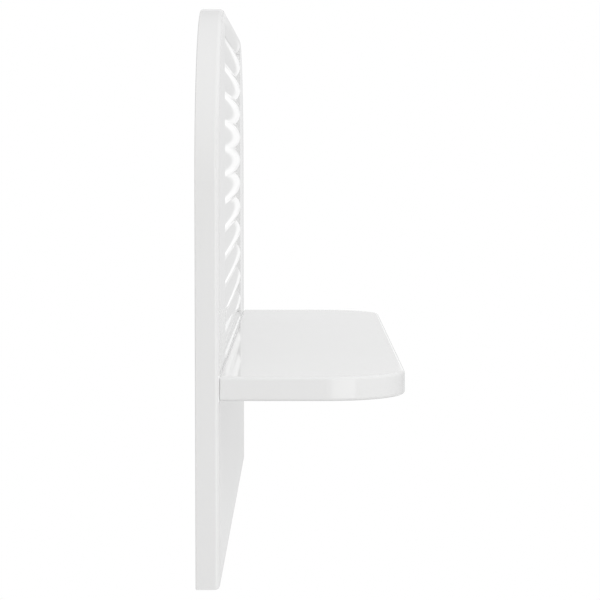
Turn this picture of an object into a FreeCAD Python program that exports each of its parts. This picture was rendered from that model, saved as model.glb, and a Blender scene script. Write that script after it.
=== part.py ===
import FreeCAD, Part
import os
from FreeCAD import Vector

# Floating wall shelf in millimetres, +Z up, wall plane at Y = 0, front towards -Y.
# X = 0 is the middle of the length and Z = 0 the middle of the panel height.

# back panel
panel_width = 600.0
panel_height = 360.0
board_thickness = 15.0
panel_corner_radius = 110.0
panel_front_round = 3.0
panel_back_break = 0.5

# ribbed insert, let in flush with the front between the two top corners
field_top_border = 14.0
field_shelf_gap = 6.7
rib_count = 11
rib_rise = 2.2
rib_run_out = 15.0
rib_crest_setback = 0.05
border_roll_lead = 0.05
insert_thickness = 5.0
insert_clearance = 0.15

# shelf board
shelf_depth = 115.0
shelf_underside_height = 116.0
shelf_corner_radius = 50.0
shelf_edge_round = 2.0
shelf_back_break = 0.8

# dowels between panel and shelf
dowel_diameter = 8.0
dowel_length = 30.0
dowel_in_panel = 10.0
dowel_end_clearance = 0.5
dowel_end_distance = 130.0
dowel_count = 2

# screws through the panel into the shelf
shelf_screw_length = 50.0
shelf_screw_shank = 4.0
shelf_screw_head = 8.0
shelf_screw_rim = 0.4
shelf_screw_setback = 0.3
shelf_screw_recess_span = 4.4
shelf_screw_recess_width = 1.1
shelf_screw_recess_depth = 2.0
shelf_screw_end_distance = 50.0
shelf_screw_count = 4
screw_clearance = 0.1
screw_tip_clearance = 0.5

# keyhole hanger plates let into the back
hanger_end_distance = 100.0
hanger_count = 2
hanger_from_top = 70.0
hanger_length = 46.0
hanger_width = 16.0
hanger_thickness = 1.5
hanger_setback = 0.2
hanger_clearance = 0.2
keyhole_entry = 9.5
keyhole_slot = 5.0
keyhole_rise = 9.0
keyhole_drop = 4.0
cavity_margin = 1.25
cavity_depth = 5.0

# screws of the hanger plates
hanger_screw_spacing = 36.0
hanger_screw_length = 8.0
hanger_screw_shank = 2.6
hanger_screw_head = 5.2
hanger_screw_rim = 0.2
hanger_screw_recess_span = 2.9
hanger_screw_recess_width = 0.75
hanger_screw_recess_depth = 1.0

overrun = 2.0
pick_tolerance = 0.01

# derived levels
panel_bottom = -panel_height / 2
panel_top = panel_height / 2
panel_front = -board_thickness
shelf_underside = panel_bottom + shelf_underside_height
shelf_middle = shelf_underside + board_thickness / 2
field_half_width = panel_width / 2 - panel_corner_radius
field_top = panel_top - field_top_border
field_bottom = shelf_underside + board_thickness + field_shelf_gap
field_floor = panel_front + insert_thickness
rib_pitch = (field_top - field_bottom) / rib_count
dowel_spread = panel_width - 2 * dowel_end_distance
shelf_screw_spread = panel_width - 2 * shelf_screw_end_distance
hanger_spread = panel_width - 2 * hanger_end_distance
hanger_height = panel_top - hanger_from_top
hanger_back = -hanger_setback
hanger_face = hanger_back - hanger_thickness


def picked(shape, test):
    return [edge for edge in shape.Edges if test(edge.BoundBox)]


def near(value, target):
    return abs(value - target) < pick_tolerance


def field_block(front, clearance):
    half_width = field_half_width - clearance
    bottom = field_bottom + clearance
    top = field_top - clearance
    corner = Vector(-half_width, front, bottom)
    return Part.makeBox(2 * half_width, field_floor - front, top - bottom, corner)


# The valleys rise to the front over the run-out at both ends of the field.
def valley_limit():
    end = field_half_width
    full = field_half_width - rib_run_out
    front = panel_front - overrun
    valley = panel_front + rib_rise
    corners = [
        Vector(-end, front, panel_bottom),
        Vector(-end, panel_front, panel_bottom),
        Vector(-full, valley, panel_bottom),
        Vector(full, valley, panel_bottom),
        Vector(end, panel_front, panel_bottom),
        Vector(end, front, panel_bottom),
    ]
    outline = Part.makePolygon(corners + corners[:1])
    return Part.Face(outline).extrude(Vector(0, 0, panel_height))


# Half a rib in the panel's own front, so that border and field meet in a valley.
def border_roll(valley_height, crest_height):
    reach = abs(crest_height - valley_height)
    radius = (reach ** 2 + rib_rise ** 2) / (2 * rib_rise)
    low = min(valley_height, crest_height)
    front = panel_front - overrun
    groove = Part.makeBox(
        2 * field_half_width, rib_rise + overrun, reach, Vector(-field_half_width, front, low)
    )
    start = Vector(-panel_width / 2, panel_front - border_roll_lead + radius, crest_height)
    groove = groove.cut(Part.makeCylinder(radius, panel_width, start, Vector(1, 0, 0)))
    return groove.common(valley_limit())


def slot_block(width, length, centre_x, centre_z, back, front):
    radius = width / 2
    depth = back - front
    straight = length - width
    low = Vector(centre_x, front, centre_z - straight / 2)
    high = Vector(centre_x, front, centre_z + straight / 2)
    along = Vector(0, 1, 0)
    bar = Part.makeBox(width, depth, straight, low - Vector(radius, 0, 0))
    bar = bar.fuse(Part.makeCylinder(radius, depth, low, along))
    bar = bar.fuse(Part.makeCylinder(radius, depth, high, along))
    return bar.removeSplitter()


def turned(corners):
    outline = Part.makePolygon(corners + corners[:1])
    return Part.Face(outline).revolve(Vector(0, 0, 0), Vector(0, 1, 0), 360)


def countersunk_screw(head, shank, length, rim):
    head_radius = head / 2
    shank_radius = shank / 2
    neck = rim + head_radius - shank_radius
    return turned([
        Vector(0, 0, 0),
        Vector(head_radius, 0, 0),
        Vector(head_radius, -rim, 0),
        Vector(shank_radius, -neck, 0),
        Vector(shank_radius, -length, 0),
        Vector(0, -length, 0),
    ])


def countersunk_bore(head, shank, length, rim):
    head_radius = head / 2 + screw_clearance
    shank_radius = shank / 2 + screw_clearance
    neck = rim + head_radius - shank_radius
    bottom = -length - screw_tip_clearance
    return turned([
        Vector(0, overrun, 0),
        Vector(head_radius + rim + overrun, overrun, 0),
        Vector(shank_radius, -neck, 0),
        Vector(shank_radius, bottom, 0),
        Vector(0, bottom, 0),
    ])


def cross_recess(span, width, depth):
    bar = Part.makeBox(span, depth + overrun, width, Vector(-span / 2, -depth, -width / 2))
    post = Part.makeBox(width, depth + overrun, span, Vector(-width / 2, -depth, -span / 2))
    return bar.fuse(post)


def placed(shape, x, y, z):
    copy = shape.copy()
    copy.translate(Vector(x, y, z))
    return copy


def spread_places(spread, count):
    step = spread / (count - 1)
    return [index * step - spread / 2 for index in range(count)]


def shelf_screw_places():
    return [(x, shelf_middle) for x in spread_places(shelf_screw_spread, shelf_screw_count)]


def dowel_places():
    return [(x, shelf_middle) for x in spread_places(dowel_spread, dowel_count)]


def hanger_screw_places(centre_x):
    return [(centre_x, hanger_height + z) for z in (-hanger_screw_spacing / 2, hanger_screw_spacing / 2)]


def shelf_screw():
    screw = countersunk_screw(shelf_screw_head, shelf_screw_shank, shelf_screw_length, shelf_screw_rim)
    return screw.cut(
        cross_recess(shelf_screw_recess_span, shelf_screw_recess_width, shelf_screw_recess_depth)
    )


def shelf_screw_bore():
    return countersunk_bore(shelf_screw_head, shelf_screw_shank, shelf_screw_length, shelf_screw_rim)


def hanger_screw():
    screw = countersunk_screw(
        hanger_screw_head, hanger_screw_shank, hanger_screw_length, hanger_screw_rim
    )
    return screw.cut(
        cross_recess(hanger_screw_recess_span, hanger_screw_recess_width, hanger_screw_recess_depth)
    )


def hanger_screw_bore():
    return countersunk_bore(hanger_screw_head, hanger_screw_shank, hanger_screw_length, hanger_screw_rim)


def dowel_bore(x, z):
    radius = dowel_diameter / 2 + screw_clearance
    length = dowel_length + 2 * dowel_end_clearance
    start = Vector(x, panel_front + dowel_in_panel + dowel_end_clearance, z)
    return Part.makeCylinder(radius, length, start, Vector(0, -1, 0))


def hanger_pocket(centre_x):
    pocket = slot_block(
        hanger_width + 2 * hanger_clearance,
        hanger_length + 2 * hanger_clearance,
        centre_x,
        hanger_height,
        overrun,
        hanger_face,
    )
    width = keyhole_entry + 2 * cavity_margin
    length = keyhole_rise + (keyhole_entry + keyhole_slot) / 2 + 2 * cavity_margin
    low = hanger_height - keyhole_drop - keyhole_entry / 2 - cavity_margin
    cavity = slot_block(
        width, length, centre_x, low + length / 2, hanger_face + overrun, hanger_face - cavity_depth
    )
    return pocket.fuse(cavity)


def arched_board():
    corner = Vector(-panel_width / 2, panel_front, panel_bottom)
    board = Part.makeBox(panel_width, board_thickness, panel_height, corner)
    upper = picked(board, lambda box: near(box.YLength, board_thickness) and near(box.ZMin, panel_top))
    board = board.makeFillet(panel_corner_radius, upper)
    front_edges = picked(board, lambda box: near(box.YMax, panel_front))
    board = board.makeFillet(panel_front_round, front_edges)
    back_edges = picked(board, lambda box: near(box.YMin, 0))
    return board.makeChamfer(panel_back_break, back_edges)


def back_panel():
    panel = arched_board()
    panel = panel.cut(field_block(panel_front - overrun, 0))
    panel = panel.cut(border_roll(field_top, field_top + rib_pitch / 2))
    panel = panel.cut(border_roll(field_bottom, field_bottom - field_shelf_gap))
    for x, z in shelf_screw_places():
        panel = panel.cut(placed(shelf_screw_bore(), x, -shelf_screw_setback, z))
    for x, z in dowel_places():
        panel = panel.cut(dowel_bore(x, z))
    for centre_x in spread_places(hanger_spread, hanger_count):
        panel = panel.cut(hanger_pocket(centre_x))
        for x, z in hanger_screw_places(centre_x):
            panel = panel.cut(placed(hanger_screw_bore(), x, hanger_back, z))
    return panel


def rib_bars():
    crest = panel_front + rib_crest_setback
    valley = panel_front + rib_rise
    start = -field_half_width - overrun
    edges = []
    for index in range(rib_count):
        low = field_bottom + index * rib_pitch
        edges.append(
            Part.Arc(
                Vector(start, valley, low),
                Vector(start, crest, low + rib_pitch / 2),
                Vector(start, valley, low + rib_pitch),
            ).toShape()
        )
    corners = [
        Vector(start, valley, field_top),
        Vector(start, field_floor, field_top),
        Vector(start, field_floor, field_bottom),
        Vector(start, valley, field_bottom),
    ]
    for first, second in zip(corners, corners[1:]):
        edges.append(Part.makeLine(first, second))
    profile = Part.Face(Part.Wire(edges))
    return profile.extrude(Vector(2 * (field_half_width + overrun), 0, 0))


def ribbed_insert():
    board = field_block(panel_front, insert_clearance)
    return board.cut(valley_limit().cut(rib_bars())).Solids[0]


def shelf_board():
    half = panel_width / 2
    front = panel_front - shelf_depth
    board = Part.makeBox(
        panel_width, shelf_depth, board_thickness, Vector(-half, front, shelf_underside)
    )
    uprights = picked(board, lambda box: near(box.ZLength, board_thickness) and near(box.YMax, front))
    board = board.makeFillet(shelf_corner_radius, uprights)
    outline = picked(board, lambda box: near(box.ZLength, 0) and box.YMin < panel_front - pick_tolerance)
    board = board.makeFillet(shelf_edge_round, outline)
    rear = picked(board, lambda box: near(box.YMin, panel_front))
    board = board.makeChamfer(shelf_back_break, rear)
    for x, z in shelf_screw_places():
        board = board.cut(placed(shelf_screw_bore(), x, -shelf_screw_setback, z))
    for x, z in dowel_places():
        board = board.cut(dowel_bore(x, z))
    return board


def dowels():
    start = panel_front + dowel_in_panel
    solids = []
    for x, z in dowel_places():
        foot = Vector(x, start, z)
        solids.append(Part.makeCylinder(dowel_diameter / 2, dowel_length, foot, Vector(0, -1, 0)))
    return Part.makeCompound(solids)


def shelf_screws():
    screw = shelf_screw()
    return Part.makeCompound([placed(screw, x, -shelf_screw_setback, z) for x, z in shelf_screw_places()])


def hanger_plate(centre_x):
    plate = slot_block(hanger_width, hanger_length, centre_x, hanger_height, hanger_back, hanger_face)
    entry = Vector(centre_x, hanger_face - overrun, hanger_height - keyhole_drop)
    through = hanger_thickness + 2 * overrun
    plate = plate.cut(Part.makeCylinder(keyhole_entry / 2, through, entry, Vector(0, 1, 0)))
    corner = entry - Vector(keyhole_slot / 2, 0, 0)
    plate = plate.cut(Part.makeBox(keyhole_slot, through, keyhole_rise, corner))
    top = entry + Vector(0, 0, keyhole_rise)
    plate = plate.cut(Part.makeCylinder(keyhole_slot / 2, through, top, Vector(0, 1, 0)))
    for x, z in hanger_screw_places(centre_x):
        plate = plate.cut(placed(hanger_screw_bore(), x, hanger_back, z))
    return plate


def hanger_screws():
    screw = hanger_screw()
    solids = []
    for centre_x in spread_places(hanger_spread, hanger_count):
        for x, z in hanger_screw_places(centre_x):
            solids.append(placed(screw, x, hanger_back, z))
    return Part.makeCompound(solids)


os.makedirs("parts", exist_ok=True)
back_panel().exportStep("parts/back_panel.step")
ribbed_insert().exportStep("parts/ribbed_insert.step")
shelf_board().exportStep("parts/shelf_board.step")
dowels().exportStep("parts/shelf_dowels.step")
shelf_screws().exportStep("parts/shelf_screws.step")
hanger_plate(-hanger_spread / 2).exportStep("parts/hanger_plate_left.step")
hanger_plate(hanger_spread / 2).exportStep("parts/hanger_plate_right.step")
hanger_screws().exportStep("parts/hanger_screws.step")
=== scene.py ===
import bpy
import math
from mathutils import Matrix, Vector


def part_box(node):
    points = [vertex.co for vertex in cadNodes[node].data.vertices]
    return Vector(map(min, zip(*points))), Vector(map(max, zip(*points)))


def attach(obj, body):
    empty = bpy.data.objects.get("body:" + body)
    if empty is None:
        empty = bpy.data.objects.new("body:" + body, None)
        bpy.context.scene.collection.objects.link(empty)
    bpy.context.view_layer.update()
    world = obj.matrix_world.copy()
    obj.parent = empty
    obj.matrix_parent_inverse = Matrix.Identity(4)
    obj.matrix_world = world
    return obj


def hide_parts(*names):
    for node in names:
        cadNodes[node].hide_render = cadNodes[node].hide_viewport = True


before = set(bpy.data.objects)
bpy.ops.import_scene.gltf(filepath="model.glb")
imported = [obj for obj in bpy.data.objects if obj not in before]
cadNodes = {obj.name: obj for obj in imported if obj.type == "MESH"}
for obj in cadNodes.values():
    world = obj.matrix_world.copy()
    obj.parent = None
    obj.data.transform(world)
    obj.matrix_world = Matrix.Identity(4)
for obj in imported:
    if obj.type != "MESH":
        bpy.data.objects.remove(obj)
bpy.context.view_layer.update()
print("frame loaded with", len(cadNodes), "nodes")


# small helpers for objects and edit mode

def startFresh():
    if bpy.context.object and bpy.context.object.mode != "OBJECT":
        bpy.ops.object.mode_set(mode="OBJECT")
    bpy.ops.object.select_all(action="DESELECT")


def useAlone(piece):
    startFresh()
    piece.select_set(True)
    bpy.context.view_layer.objects.active = piece


def pickVerts(piece, test):
    # vertex picks by place, then back to edit mode with edges and faces flushed
    bpy.ops.mesh.select_all(action="DESELECT")
    bpy.ops.object.mode_set(mode="OBJECT")
    for vert in piece.data.vertices:
        vert.select = test(vert.co)
    bpy.ops.object.mode_set(mode="EDIT")


def pickEdges(piece, test):
    bpy.ops.mesh.select_mode(type="EDGE")
    bpy.ops.mesh.select_all(action="DESELECT")
    bpy.ops.object.mode_set(mode="OBJECT")
    verts = piece.data.vertices
    for edge in piece.data.edges:
        edge.select = test(verts[edge.vertices[0]].co, verts[edge.vertices[1]].co)
    bpy.ops.object.mode_set(mode="EDIT")


def applyAll(piece):
    useAlone(piece)
    for modifier in list(piece.modifiers):
        bpy.ops.object.modifier_apply(modifier=modifier.name)


def settle(piece):
    # place, turn and size go into the mesh
    useAlone(piece)
    bpy.ops.object.transform_apply(location=True, rotation=True, scale=True)


# ribbed insert: one rib spun, repeated up the field, trimmed top and bottom, closed to a flat back

ribs = {
    "count": 11,
    "rise": 0.0022,          # depth of the valleys
    "setback": 0.00005,      # crests behind the panel's front
    "runOut": 0.015,         # the valleys rise to the front over this length at each end
    "runSteps": 12,
    "arcSteps": 28,
    "valleyRound": 0.0005,   # lacquer lying in the valleys
    "valleySteps": 4,
    "clearance": 0.00015,    # the insert is this much smaller than its recess
    "endEase": 0.0002,       # front edge of the ends, eased before spraying
    "endSteps": 2,
    "endCut": 0.0006,        # a cut this far in keeps the easing out of the long faces' shading
    "smoothAngle": 25,
    "sameSpot": 0.00001,     # places nearer than this count as one
}


def makeRibSheet(low, high, front):
    fieldLow = low.z - ribs["clearance"]
    pitch = (high.z - low.z + 2 * ribs["clearance"]) / ribs["count"]
    crest = front + ribs["setback"]
    valley = front + ribs["rise"]
    half = pitch / 2
    radius = (half ** 2 + (valley - crest) ** 2) / (2 * (valley - crest))
    reach = high.x
    startFresh()
    bpy.ops.mesh.primitive_plane_add(size=2 * reach, location=(0, 0, 0))
    sheet = bpy.context.object
    sheet.name = "ribbed_field"
    bpy.ops.object.mode_set(mode="EDIT")
    pickVerts(sheet, lambda co: co.y > 0)
    bpy.ops.mesh.delete(type="VERT")
    # the edge that is left becomes the first valley line
    bpy.ops.mesh.select_all(action="SELECT")
    bpy.ops.transform.translate(value=(0, valley + reach, fieldLow))
    bpy.ops.mesh.spin(
        steps=ribs["arcSteps"],
        angle=2 * math.asin(half / radius),
        center=(0, crest + radius, fieldLow + half),
        axis=(1, 0, 0),
    )
    bpy.ops.object.mode_set(mode="OBJECT")
    stack = sheet.modifiers.new("stack", "ARRAY")
    stack.count = ribs["count"]
    stack.use_relative_offset = False
    stack.use_constant_offset = True
    stack.constant_offset_displace = (0, 0, pitch)
    stack.use_merge_vertices = True
    stack.merge_threshold = ribs["sameSpot"]
    applyAll(sheet)
    bpy.ops.object.mode_set(mode="EDIT")

    def inValley(first, second):
        flat = max(abs(first.y - valley), abs(second.y - valley)) < ribs["sameSpot"]
        inside = fieldLow + half < first.z < fieldLow + pitch * ribs["count"] - half
        return flat and inside and abs(first.x - second.x) > reach

    pickEdges(sheet, inValley)
    bpy.ops.mesh.bevel(
        offset=ribs["valleyRound"], segments=ribs["valleySteps"], profile=0.5, affect="EDGES"
    )
    bpy.ops.mesh.select_all(action="SELECT")
    bpy.ops.mesh.bisect(plane_co=(0, 0, low.z), plane_no=(0, 0, 1), clear_inner=True)
    bpy.ops.mesh.select_all(action="SELECT")
    bpy.ops.mesh.bisect(plane_co=(0, 0, high.z), plane_no=(0, 0, 1), clear_outer=True)
    return sheet


def runOutValleys(sheet, front, reach):
    # cuts across the ribs near each end, and at each cut what lies deeper comes up to the ramp
    bpy.ops.mesh.select_mode(type="VERT")
    end = reach + ribs["clearance"]
    for side in (-1, 1):
        for step in range(ribs["runSteps"] + 1):
            inward = ribs["runOut"] * (1 - step / ribs["runSteps"])
            cut = min(end - inward, reach)
            if cut < reach:
                bpy.ops.mesh.select_all(action="SELECT")
                bpy.ops.mesh.bisect(plane_co=(side * cut, 0, 0), plane_no=(1, 0, 0))
            ramp = front + ribs["rise"] * (end - cut) / ribs["runOut"]

            def belowRamp(co):
                return abs(co.x - side * cut) < ribs["sameSpot"] and co.y > ramp

            pickVerts(sheet, belowRamp)
            bpy.ops.transform.resize(value=(1, 0, 1), center_override=(0, ramp, 0))


def makeRibbedField():
    low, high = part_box("ribbed_insert")
    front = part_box("back_panel")[0].y
    board = makeRibSheet(low, high, front)
    reach = high.x
    runOutValleys(board, front, reach)
    # close the sheet to a board with a flat back
    bpy.ops.mesh.select_all(action="SELECT")
    bpy.ops.mesh.extrude_region_move(TRANSFORM_OT_translate={"value": (0, high.y - front, 0)})
    bpy.ops.transform.resize(value=(1, 0, 1), center_override=(0, high.y, 0))
    bpy.ops.mesh.select_all(action="SELECT")
    bpy.ops.mesh.normals_make_consistent(inside=False)
    for side in (-1, 1):
        bpy.ops.mesh.select_all(action="SELECT")
        bpy.ops.mesh.bisect(plane_co=(side * (reach - ribs["endCut"]), 0, 0), plane_no=(1, 0, 0))

    def onRibEnd(first, second):
        outermost = min(abs(first.x), abs(second.x)) > reach - ribs["sameSpot"]
        return outermost and max(first.y, second.y) < front + ribs["rise"] + ribs["sameSpot"]

    pickEdges(board, onRibEnd)
    bpy.ops.mesh.bevel(
        offset=ribs["endEase"], segments=ribs["endSteps"], profile=0.5, affect="EDGES"
    )
    useAlone(board)
    bpy.ops.object.shade_smooth_by_angle(angle=math.radians(ribs["smoothAngle"]))
    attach(board, "root")
    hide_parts("ribbed_insert")
    return board


ribbedField = makeRibbedField()
print("ribbed field:", len(ribbedField.data.polygons), "faces")


# node helpers

def plug(tree, value, socket):
    # a link from another node, or a plain value
    if isinstance(value, bpy.types.NodeSocket):
        tree.links.new(value, socket)
    else:
        socket.default_value = value


def math2(tree, operation, first, second=None, third=None):
    node = tree.nodes.new("ShaderNodeMath")
    node.operation = operation
    for index, value in enumerate((first, second, third)):
        if value is not None:
            plug(tree, value, node.inputs[index])
    return node.outputs[0]


def remap(tree, value, lowIn, highIn, lowOut, highOut, smooth=False):
    node = tree.nodes.new("ShaderNodeMapRange")
    node.interpolation_type = "SMOOTHSTEP" if smooth else "LINEAR"
    tree.links.new(value, node.inputs["Value"])
    names = ("From Min", "From Max", "To Min", "To Max")
    for name, number in zip(names, (lowIn, highIn, lowOut, highOut)):
        node.inputs[name].default_value = number
    return node.outputs["Result"]


def mixColour(tree, share, first, second):
    node = tree.nodes.new("ShaderNodeMix")
    node.data_type = "RGBA"
    for index, value in ((0, share), (6, first), (7, second)):   # its colour sockets
        plug(tree, value, node.inputs[index])
    return node.outputs[2]


def mixValue(tree, share, first, second):
    node = tree.nodes.new("ShaderNodeMix")
    node.data_type = "FLOAT"
    for index, value in ((0, share), (2, first), (3, second)):   # its number sockets
        plug(tree, value, node.inputs[index])
    return node.outputs[0]


def newGroup(name, inputs, outputs):
    tree = bpy.data.node_groups.new(name, "ShaderNodeTree")
    for label, value in inputs:
        socket = tree.interface.new_socket(
            name=label, in_out="INPUT", socket_type="NodeSocketFloat"
        )
        socket.default_value = value
    for label, kind in outputs:
        tree.interface.new_socket(name=label, in_out="OUTPUT", socket_type=kind)
    return tree, tree.nodes.new("NodeGroupInput"), tree.nodes.new("NodeGroupOutput")


def stretched(tree, x, y, z):
    # object coordinates, squeezed so that a pattern runs along the smallest factor
    place = tree.nodes.new("ShaderNodeTexCoord")
    mapping = tree.nodes.new("ShaderNodeMapping")
    mapping.inputs["Scale"].default_value = (x, y, z)
    tree.links.new(place.outputs["Object"], mapping.inputs["Vector"])
    return mapping.outputs["Vector"]


def noise(tree, vector, scale, detail=2.0, roughness=0.5):
    node = tree.nodes.new("ShaderNodeTexNoise")
    tree.links.new(vector, node.inputs["Vector"])
    for label, value in (("Scale", scale), ("Detail", detail), ("Roughness", roughness)):
        plug(tree, value, node.inputs[label])
    return node.outputs["Fac"]


# shared finishes

lacquerNoise = {
    "peelScale": 420.0,
    "cloudScale": 9.0,
    "hazeScale": 30.0,
    "wipe": 0.25,            # the haze is drawn out this way along the length
    "cloudSpan": (0.3, 0.7), # noise that counts as none and as full
    "hazeSpan": (0.35, 0.75),
}


def makeLacquerSkin():
    # sprayed gloss: faint orange peel, slow clouding of the white, wiped-on haze in the gloss
    tree, given, out = newGroup(
        "lacquerSkin",
        [
            ("Peel Scale", lacquerNoise["peelScale"]),
            ("Cloud Scale", lacquerNoise["cloudScale"]),
            ("Haze Scale", lacquerNoise["hazeScale"]),
        ],
        [("Cloud", "NodeSocketFloat"), ("Haze", "NodeSocketFloat"), ("Peel", "NodeSocketFloat")],
    )
    plain = stretched(tree, 1, 1, 1)
    wiped = stretched(tree, lacquerNoise["wipe"], 1, 1)
    cloud = noise(tree, plain, given.outputs["Cloud Scale"], 4.0, 0.6)
    haze = noise(tree, wiped, given.outputs["Haze Scale"], 5.0, 0.6)
    broad = noise(tree, plain, given.outputs["Peel Scale"], 1.0, 0.4)
    tree.links.new(remap(tree, cloud, *lacquerNoise["cloudSpan"], 0, 1), out.inputs["Cloud"])
    tree.links.new(remap(tree, haze, *lacquerNoise["hazeSpan"], 0, 1), out.inputs["Haze"])
    tree.links.new(broad, out.inputs["Peel"])
    return tree


fibreboard = {
    "dark": (0.19, 0.105, 0.05, 1),
    "pale": (0.46, 0.31, 0.18, 1),
    "dust": (0.30, 0.19, 0.10, 1),
    "fibreScale": 700.0,
    "flatten": 3,            # the fibres lie in the board's plane
    "dustScale": 160.0,
    "dustSpan": (0.45, 0.7),
    "dustMost": 0.5,
}


def makeRawBoard():
    # cut fibreboard: short pale fibres in brown dust
    tree, given, out = newGroup(
        "rawBoard",
        [("Fibre Scale", fibreboard["fibreScale"])],
        [("Colour", "NodeSocketColor"), ("Fibre", "NodeSocketFloat")],
    )
    felted = stretched(tree, 1, fibreboard["flatten"], 1)
    fibre = noise(tree, felted, given.outputs["Fibre Scale"], 5.0, 0.7)
    patch = noise(tree, stretched(tree, 1, 1, 1), fibreboard["dustScale"], 3.0, 0.5)
    dusty = remap(tree, patch, *fibreboard["dustSpan"], 0, fibreboard["dustMost"])
    tone = mixColour(tree, fibre, fibreboard["dark"], fibreboard["pale"])
    tone = mixColour(tree, dusty, tone, fibreboard["dust"])
    tree.links.new(tone, out.inputs["Colour"])
    tree.links.new(fibre, out.inputs["Fibre"])
    return tree


zinc = {
    "pale": (0.66, 0.67, 0.68, 1),
    "blue": (0.50, 0.53, 0.57, 1),
    "roughLow": 0.24,
    "roughHigh": 0.40,
    "lineStrength": 0.12,
    "lineDepth": 0.00004,
    "rolling": (0.6, 0.6, 0.03),   # lines drawn out upwards
    "span": (0.3, 0.7),
    "lineScale": 900.0,
    "mottleScale": 260.0,
    "screwScales": (1400.0, 500.0),
    "plateScales": (700.0, 220.0),
}


def makeZincSkin():
    # barrel plating: fine rolling lines under a faint crystal mottle
    tree, given, out = newGroup(
        "zincSkin",
        [("Line Scale", zinc["lineScale"]), ("Mottle Scale", zinc["mottleScale"])],
        [("Mottle", "NodeSocketFloat"), ("Line", "NodeSocketFloat")],
    )
    rolled = stretched(tree, *zinc["rolling"])
    line = noise(tree, rolled, given.outputs["Line Scale"], 3.0, 0.6)
    mottle = noise(tree, stretched(tree, 1, 1, 1), given.outputs["Mottle Scale"], 4.0, 0.65)
    tree.links.new(remap(tree, mottle, *zinc["span"], 0, 1), out.inputs["Mottle"])
    tree.links.new(line, out.inputs["Line"])
    return tree


lacquerSkin = makeLacquerSkin()
rawBoard = makeRawBoard()
zincSkin = makeZincSkin()


def placeGroup(tree, group, **inputs):
    node = tree.nodes.new("ShaderNodeGroup")
    node.node_tree = group
    for name, value in inputs.items():
        node.inputs[name.replace("_", " ")].default_value = value
    return node


def newMaterial(name):
    material = bpy.data.materials.new(name)
    material.use_nodes = True
    tree = material.node_tree
    return material, tree, tree.nodes["Principled BSDF"]


def objectPlace(tree):
    place = tree.nodes.new("ShaderNodeTexCoord")
    split = tree.nodes.new("ShaderNodeSeparateXYZ")
    tree.links.new(place.outputs["Object"], split.inputs[0])
    return split.outputs[0], split.outputs[1], split.outputs[2]


def bumpInto(tree, shader, height, strength, distance):
    bump = tree.nodes.new("ShaderNodeBump")
    bump.inputs["Strength"].default_value = strength
    bump.inputs["Distance"].default_value = distance
    tree.links.new(height, bump.inputs["Height"])
    tree.links.new(bump.outputs["Normal"], shader.inputs["Normal"])


def nearTo(tree, value, centre, reach):
    return math2(tree, "COMPARE", value, centre, reach)


def both(tree, *masks):
    result = masks[0]
    for mask in masks[1:]:
        result = math2(tree, "MULTIPLY", result, mask)
    return result


lacquer = {
    "white": (0.798, 0.798, 0.798, 1),
    "warmer": (0.788, 0.787, 0.782, 1),
    "glossLow": 0.022,
    "glossHigh": 0.034,
    "satin": 0.42,          # the panel's back, not polished out
    "rawRough": 0.85,
    "peelStrength": 0.02,
    "peelDepth": 0.00003,
    "jointLightening": (0.97, 0.97, 0.97, 1),   # painted light: near-white that lightens the shade in the joint of shelf and panel
    "backFrom": -0.0002,    # y past which the panel's back begins
}

# where the boards are bare: centre and half width of each band, in object coordinates
bare = {
    "pocketSide": (0.200, 0.0088),
    "pocketHeight": (0.110, 0.0238),
    "pocketDepth": (-0.0036, 0.0034),
    "boreHeight": (-0.0565, 0.0060),
    "boreDepth": (-0.0076, 0.0072),
    "boreReach": 0.262,     # screws and dowels lie nearer the middle than this
    "shelfBoreHeight": (-0.0565, 0.0046),
    "shelfBoreEnd": -0.060,
}

# where the joint's shade is painted lighter: the panel's strip behind the shelf, the shelf's rear
# edge
jointLightZone = {
    "height": (-0.0565, 0.0080),
    "panelFront": -0.0142,
    "shelfRear": -0.0155,
}


def lacquerBase(tree):
    skin = placeGroup(tree, lacquerSkin)
    white = mixColour(tree, skin.outputs["Cloud"], lacquer["white"], lacquer["warmer"])
    gloss = remap(tree, skin.outputs["Haze"], 0, 1, lacquer["glossLow"], lacquer["glossHigh"])
    return skin, white, gloss


def finishLacquer(tree, shader, skin, colour, rough, bareMask, jointLightMask):
    board = placeGroup(tree, rawBoard)
    # painted light: the shade in the joint of shelf and panel is lightened to near-white
    colour = mixColour(tree, jointLightMask, colour, lacquer["jointLightening"])
    colour = mixColour(tree, bareMask, colour, board.outputs["Colour"])
    rough = mixValue(tree, bareMask, rough, lacquer["rawRough"])
    height = mixValue(tree, bareMask, skin.outputs["Peel"], board.outputs["Fibre"])
    tree.links.new(colour, shader.inputs["Base Color"])
    tree.links.new(rough, shader.inputs["Roughness"])
    bumpInto(tree, shader, height, lacquer["peelStrength"], lacquer["peelDepth"])


def makePanelLacquer():
    material, tree, shader = newMaterial("panel_white_lacquer")
    skin, white, gloss = lacquerBase(tree)
    x, y, z = objectPlace(tree)
    side = math2(tree, "ABSOLUTE", x)
    # bare board shows in the hanger pockets and in the screw and dowel bores
    pocket = both(
        tree,
        nearTo(tree, side, *bare["pocketSide"]),
        nearTo(tree, z, *bare["pocketHeight"]),
        nearTo(tree, y, *bare["pocketDepth"]),
    )
    bore = both(
        tree,
        nearTo(tree, z, *bare["boreHeight"]),
        math2(tree, "LESS_THAN", side, bare["boreReach"]),
        nearTo(tree, y, *bare["boreDepth"]),
    )
    back = math2(tree, "GREATER_THAN", y, lacquer["backFrom"])
    rough = mixValue(tree, back, gloss, lacquer["satin"])
    # painted light: the panel's strip behind the shelf, lightened against the joint's shade
    jointLight = both(
        tree,
        nearTo(tree, z, *jointLightZone["height"]),
        math2(tree, "LESS_THAN", y, jointLightZone["panelFront"]),
    )
    opened = math2(tree, "MAXIMUM", pocket, bore)
    finishLacquer(tree, shader, skin, white, rough, opened, jointLight)
    return material


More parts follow.
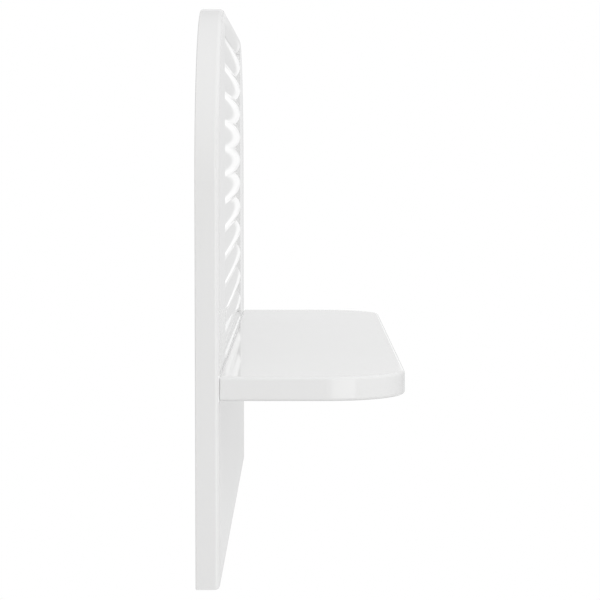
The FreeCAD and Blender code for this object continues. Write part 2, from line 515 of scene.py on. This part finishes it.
def makeShelfLacquer():
    material, tree, shader = newMaterial("shelf_white_lacquer")
    skin, white, gloss = lacquerBase(tree)
    x, y, z = objectPlace(tree)
    bore = both(
        tree,
        nearTo(tree, z, *bare["shelfBoreHeight"]),
        math2(tree, "LESS_THAN", math2(tree, "ABSOLUTE", x), bare["boreReach"]),
        math2(tree, "GREATER_THAN", y, bare["shelfBoreEnd"]),
    )
    # painted light: the shelf's rear edge, lightened against the joint's shade
    jointLight = math2(tree, "GREATER_THAN", y, jointLightZone["shelfRear"])
    finishLacquer(tree, shader, skin, white, gloss, bore, jointLight)
    return material


def makeRibLacquer():
    material, tree, shader = newMaterial("rib_white_lacquer")
    skin, white, gloss = lacquerBase(tree)
    tree.links.new(white, shader.inputs["Base Color"])
    tree.links.new(gloss, shader.inputs["Roughness"])
    bumpInto(tree, shader, skin.outputs["Peel"], lacquer["peelStrength"], lacquer["peelDepth"])
    return material


def makeZinc(name, lineScale, mottleScale):
    material, tree, shader = newMaterial(name)
    skin = placeGroup(tree, zincSkin, Line_Scale=lineScale, Mottle_Scale=mottleScale)
    colour = mixColour(tree, skin.outputs["Mottle"], zinc["pale"], zinc["blue"])
    rough = remap(tree, skin.outputs["Line"], *zinc["span"], zinc["roughLow"], zinc["roughHigh"])
    tree.links.new(colour, shader.inputs["Base Color"])
    tree.links.new(rough, shader.inputs["Roughness"])
    shader.inputs["Metallic"].default_value = 1.0
    bumpInto(tree, shader, skin.outputs["Line"], zinc["lineStrength"], zinc["lineDepth"])
    return material


beech = {
    "pale": (0.62, 0.42, 0.24, 1),
    "dark": (0.40, 0.23, 0.11, 1),
    "fleck": (0.30, 0.16, 0.08, 1),
    "grainScale": 900.0,
    "grainDraw": 0.05,       # grain and flecks are drawn out along the dowel
    "grainSpan": (0.3, 0.7),
    "fleckScale": 1500.0,
    "fleckDraw": 0.18,
    "fleckSpan": (0.66, 0.72),
    "fleckMost": 0.8,
    "rough": (0.5, 0.68),
    "bumpStrength": 0.3,
    "bumpDepth": 0.0001,
}


def makeBeech():
    material, tree, shader = newMaterial("turned_beech")
    grain = noise(tree, stretched(tree, 1, beech["grainDraw"], 1), beech["grainScale"], 4.0, 0.6)
    fleck = noise(tree, stretched(tree, 1, beech["fleckDraw"], 1), beech["fleckScale"], 1.0, 0.3)
    darker = remap(tree, grain, *beech["grainSpan"], 0, 1)
    flecked = remap(tree, fleck, *beech["fleckSpan"], 0, beech["fleckMost"])
    rough = remap(tree, grain, *beech["grainSpan"], *beech["rough"])
    colour = mixColour(tree, darker, beech["pale"], beech["dark"])
    colour = mixColour(tree, flecked, colour, beech["fleck"])
    tree.links.new(colour, shader.inputs["Base Color"])
    tree.links.new(rough, shader.inputs["Roughness"])
    bumpInto(tree, shader, grain, beech["bumpStrength"], beech["bumpDepth"])
    return material


def dress(piece, material):
    piece.data.materials.clear()
    piece.data.materials.append(material)


dress(cadNodes["back_panel"], makePanelLacquer())
dress(cadNodes["shelf_board"], makeShelfLacquer())
dress(ribbedField, makeRibLacquer())
dress(cadNodes["shelf_dowels"], makeBeech())
screwZinc = makeZinc("screw_zinc", *zinc["screwScales"])
plateZinc = makeZinc("plate_zinc", *zinc["plateScales"])
dress(cadNodes["shelf_screws"], screwZinc)
dress(cadNodes["hanger_screws"], screwZinc)
dress(cadNodes["hanger_plate_left"], plateZinc)
dress(cadNodes["hanger_plate_right"], plateZinc)
print("finishes:", len(bpy.data.materials))


# floor: a pale round under the shelf, fading to the white backdrop at its rim

floor = {
    "height": -0.50,
    "radius": 1.25,
    "colour": (0.79, 0.79, 0.79, 1),
    "paler": (0.82, 0.82, 0.82, 1),
    "sides": 96,
    "rough": 0.9,
    "grainScale": 40.0,
    "fade": (0.35, 0.95),    # shares of the radius where the fading begins and ends
}


def makeFloor():
    startFresh()
    bpy.ops.mesh.primitive_circle_add(
        vertices=floor["sides"],
        radius=floor["radius"],
        fill_type="NGON",
        location=(0, 0, floor["height"]),
    )
    ground = bpy.context.object
    ground.name = "floor"
    settle(ground)
    material, tree, shader = newMaterial("floor_pale")
    shader.inputs["Roughness"].default_value = floor["rough"]
    grain = noise(tree, stretched(tree, 1, 1, 1), floor["grainScale"], 4.0, 0.6)
    colour = mixColour(tree, grain, floor["colour"], floor["paler"])
    tree.links.new(colour, shader.inputs["Base Color"])
    x, y = objectPlace(tree)[:2]
    squares = math2(tree, "ADD", math2(tree, "POWER", x, 2), math2(tree, "POWER", y, 2))
    away = math2(tree, "SQRT", squares)
    fadeFrom, fadeTo = (share * floor["radius"] for share in floor["fade"])
    fade = remap(tree, away, fadeFrom, fadeTo, 0, 1, True)
    path = tree.nodes.new("ShaderNodeLightPath")
    seen = math2(tree, "MAXIMUM", path.outputs["Is Camera Ray"], path.outputs["Is Glossy Ray"])
    glow = tree.nodes.new("ShaderNodeEmission")
    clear = tree.nodes.new("ShaderNodeBsdfTransparent")
    facing = tree.nodes.new("ShaderNodeNewGeometry")
    blend = tree.nodes.new("ShaderNodeMixShader")
    tree.links.new(math2(tree, "MULTIPLY", seen, fade), blend.inputs[0])
    tree.links.new(shader.outputs[0], blend.inputs[1])
    tree.links.new(glow.outputs[0], blend.inputs[2])
    under = tree.nodes.new("ShaderNodeMixShader")
    tree.links.new(facing.outputs["Backfacing"], under.inputs[0])
    tree.links.new(blend.outputs[0], under.inputs[1])
    tree.links.new(clear.outputs[0], under.inputs[2])
    tree.links.new(under.outputs[0], tree.nodes["Material Output"].inputs["Surface"])
    dress(ground, material)


makeFloor()


# studio: pale round about, lighter above and in front, with levels of its own behind the wall plane
# and at the far end, soft cards in it, and plain white where the camera sees it

studio = {
    "level": 0.600,          # round about, at the horizon
    "rise": 0.36,            # lighter above, darker below
    "front": 0.15,           # lighter in front of the shelf than along the wall
    "backLevel": 0.80,       # behind the wall plane, for views of the back
    "backEdge": (0.40, 0.90),
    "farLevel": 0.80,        # the far end
    "farEdge": (0.86, 0.97), # where the far end begins and is full
    "leastAhead": 0.001,     # keeps the cards' slopes finite
    "seen": 1.0,
}

# cards at the far end (way 1) or behind the camera (way -1): across and upward are slopes off the
# length, soft is how far each pair of sides blurs
cards = [
    {   # above, seen in the shelf's top
        "way": 1, "across": (-0.30, 0.30), "upward": (0.058, 0.40),
        "soft": (0.02, 0.012), "level": 0.89,
    },
    {   # low down
        "way": 1, "across": (-0.30, 0.30), "upward": (-0.145, -0.085),
        "soft": (0.02, 0.020), "level": 0.76,
    },
    {   # straight ahead, from just in front of the wall's line to well past it
        "way": 1, "across": (-0.0205, 0.0900), "upward": (-0.100, 0.056),
        "soft": (0.0030, 0.005), "level": 0.98,
    },
    {   # higher, in front of the wall
        "way": 1, "across": (-0.1600, -0.0440), "upward": (0.046, 0.120),
        "soft": (0.0030, 0.006), "level": 1.15,
    },
    {   # higher, past the wall's line
        "way": 1, "across": (0.0340, 0.1600), "upward": (0.030, 0.120),
        "soft": (0.0030, 0.006), "level": 1.15,
    },
    {   # behind the camera, in front of the wall
        "way": -1, "across": (-0.93, -0.18), "upward": (-0.30, 0.20),
        "soft": (0.010, 0.050), "level": 1.85,
    },
]


def between(tree, value, edges, soft):
    low, high = edges
    begins = remap(tree, value, low - soft, low + soft, 0, 1, True)
    lasts = remap(tree, value, high - soft, high + soft, 1, 0, True)
    return both(tree, begins, lasts)


def makeStudio():
    world = bpy.data.worlds.new("studio")
    bpy.context.scene.world = world
    world.use_nodes = True
    tree = world.node_tree
    light = tree.nodes["Background"]
    place = tree.nodes.new("ShaderNodeTexCoord")
    split = tree.nodes.new("ShaderNodeSeparateXYZ")
    tree.links.new(place.outputs["Generated"], split.inputs[0])
    x, y, z = split.outputs
    level = math2(tree, "ADD", math2(tree, "MULTIPLY", z, studio["rise"]), studio["level"])
    level = math2(tree, "SUBTRACT", level, math2(tree, "MULTIPLY", y, studio["front"]))
    back = remap(tree, y, *studio["backEdge"], 0, 1, True)
    level = mixValue(tree, back, level, studio["backLevel"])
    far = remap(tree, x, *studio["farEdge"], 0, 1, True)
    level = mixValue(tree, far, level, studio["farLevel"])
    for card in cards:
        along = math2(tree, "MULTIPLY", x, card["way"])
        ahead = math2(tree, "MAXIMUM", along, studio["leastAhead"])
        wide = between(tree, math2(tree, "DIVIDE", y, ahead), card["across"], card["soft"][0])
        tall = between(tree, math2(tree, "DIVIDE", z, ahead), card["upward"], card["soft"][1])
        level = mixValue(tree, both(tree, wide, tall), level, card["level"])
    path = tree.nodes.new("ShaderNodeLightPath")
    level = mixValue(tree, path.outputs["Is Camera Ray"], level, studio["seen"])
    tree.links.new(level, light.inputs["Strength"])
    light.inputs["Color"].default_value = (1, 1, 1, 1)


makeStudio()


# near card: a lit strip past the far end, close to the wall, that shows only in the gloss of the
# panel and ribs

nearCard = {
    "ahead": 0.50,
    "across": (-0.0306, -0.0232),
    "upward": (-0.085, 0.185),
    "soft": (0.0020, 0.012),
    "room": 4,               # soft widths of clear sheet beyond the lit part, both sides together
    "gain": 0.23,            # added to what lies behind it
}


def makeNearCard():
    startFresh()
    left, right = nearCard["across"]
    low, high = nearCard["upward"]
    softAcross, softUpward = nearCard["soft"]
    middle = (nearCard["ahead"], (left + right) / 2, (low + high) / 2)
    bpy.ops.mesh.primitive_plane_add(size=1, location=middle)
    card = bpy.context.object
    card.name = "near_card"
    card.rotation_euler = (0, math.radians(90), 0)
    tallest = high - low + nearCard["room"] * softUpward
    widest = right - left + nearCard["room"] * softAcross
    card.scale = (tallest, widest, 1)
    settle(card)
    material, tree = newMaterial("near_card_light")[:2]
    y, z = objectPlace(tree)[1:]
    wide = between(tree, y, nearCard["across"], softAcross)
    tall = between(tree, z, nearCard["upward"], softUpward)
    lit = tree.nodes.new("ShaderNodeEmission")
    strength = math2(tree, "MULTIPLY", both(tree, wide, tall), nearCard["gain"])
    tree.links.new(strength, lit.inputs["Strength"])
    clear = tree.nodes.new("ShaderNodeBsdfTransparent")
    total = tree.nodes.new("ShaderNodeAddShader")
    tree.links.new(clear.outputs[0], total.inputs[0])
    tree.links.new(lit.outputs[0], total.inputs[1])
    tree.links.new(total.outputs[0], tree.nodes["Material Output"].inputs["Surface"])
    dress(card, material)
    card.visible_camera = False
    card.visible_diffuse = False
    card.visible_shadow = False
    # it lights the panel and its ribs only, so that the shelf's top stays even
    lights = bpy.data.collections.new("near_card_lights")
    lights.objects.link(cadNodes["back_panel"])
    lights.objects.link(ribbedField)
    card.light_linking.receiver_collection = lights


makeNearCard()


# key lamp: a soft box above and in front of the near end, itself not mirrored in the gloss

key = {
    "place": (-1.10, -0.50, 0.45),
    "aim": (-0.25, -0.05, 0.0),
    "size": 0.6,
    "power": 2.7,
}


def makeKey():
    data = bpy.data.lights.new("key", "AREA")
    data.size = key["size"]
    data.energy = key["power"]
    lamp = bpy.data.objects.new("key", data)
    bpy.context.scene.collection.objects.link(lamp)
    place = Vector(key["place"])
    lamp.location = place
    lamp.rotation_euler = (place - Vector(key["aim"])).to_track_quat("Z", "Y").to_euler()
    lamp.visible_glossy = False
    lamp.visible_camera = False


makeKey()


# camera at the left end, looking along the length

camera = {
    "place": (-1.700, -0.06467, 0.08775),
    "down": 3.674,
    "turned": -89.97,
    "lens": 138.69,
    "sensor": 36,
    "clipEnd": 100,
}


def makeCamera():
    data = bpy.data.cameras.new("camera")
    data.lens = camera["lens"]
    data.sensor_width = camera["sensor"]
    data.clip_end = camera["clipEnd"]
    eye = bpy.data.objects.new("camera", data)
    bpy.context.scene.collection.objects.link(eye)
    eye.location = camera["place"]
    eye.rotation_euler = (math.radians(90 - camera["down"]), 0, math.radians(camera["turned"]))
    bpy.context.scene.camera = eye


makeCamera()
bpy.context.scene.view_settings.view_transform = "Standard"
print("floor, light and camera set")
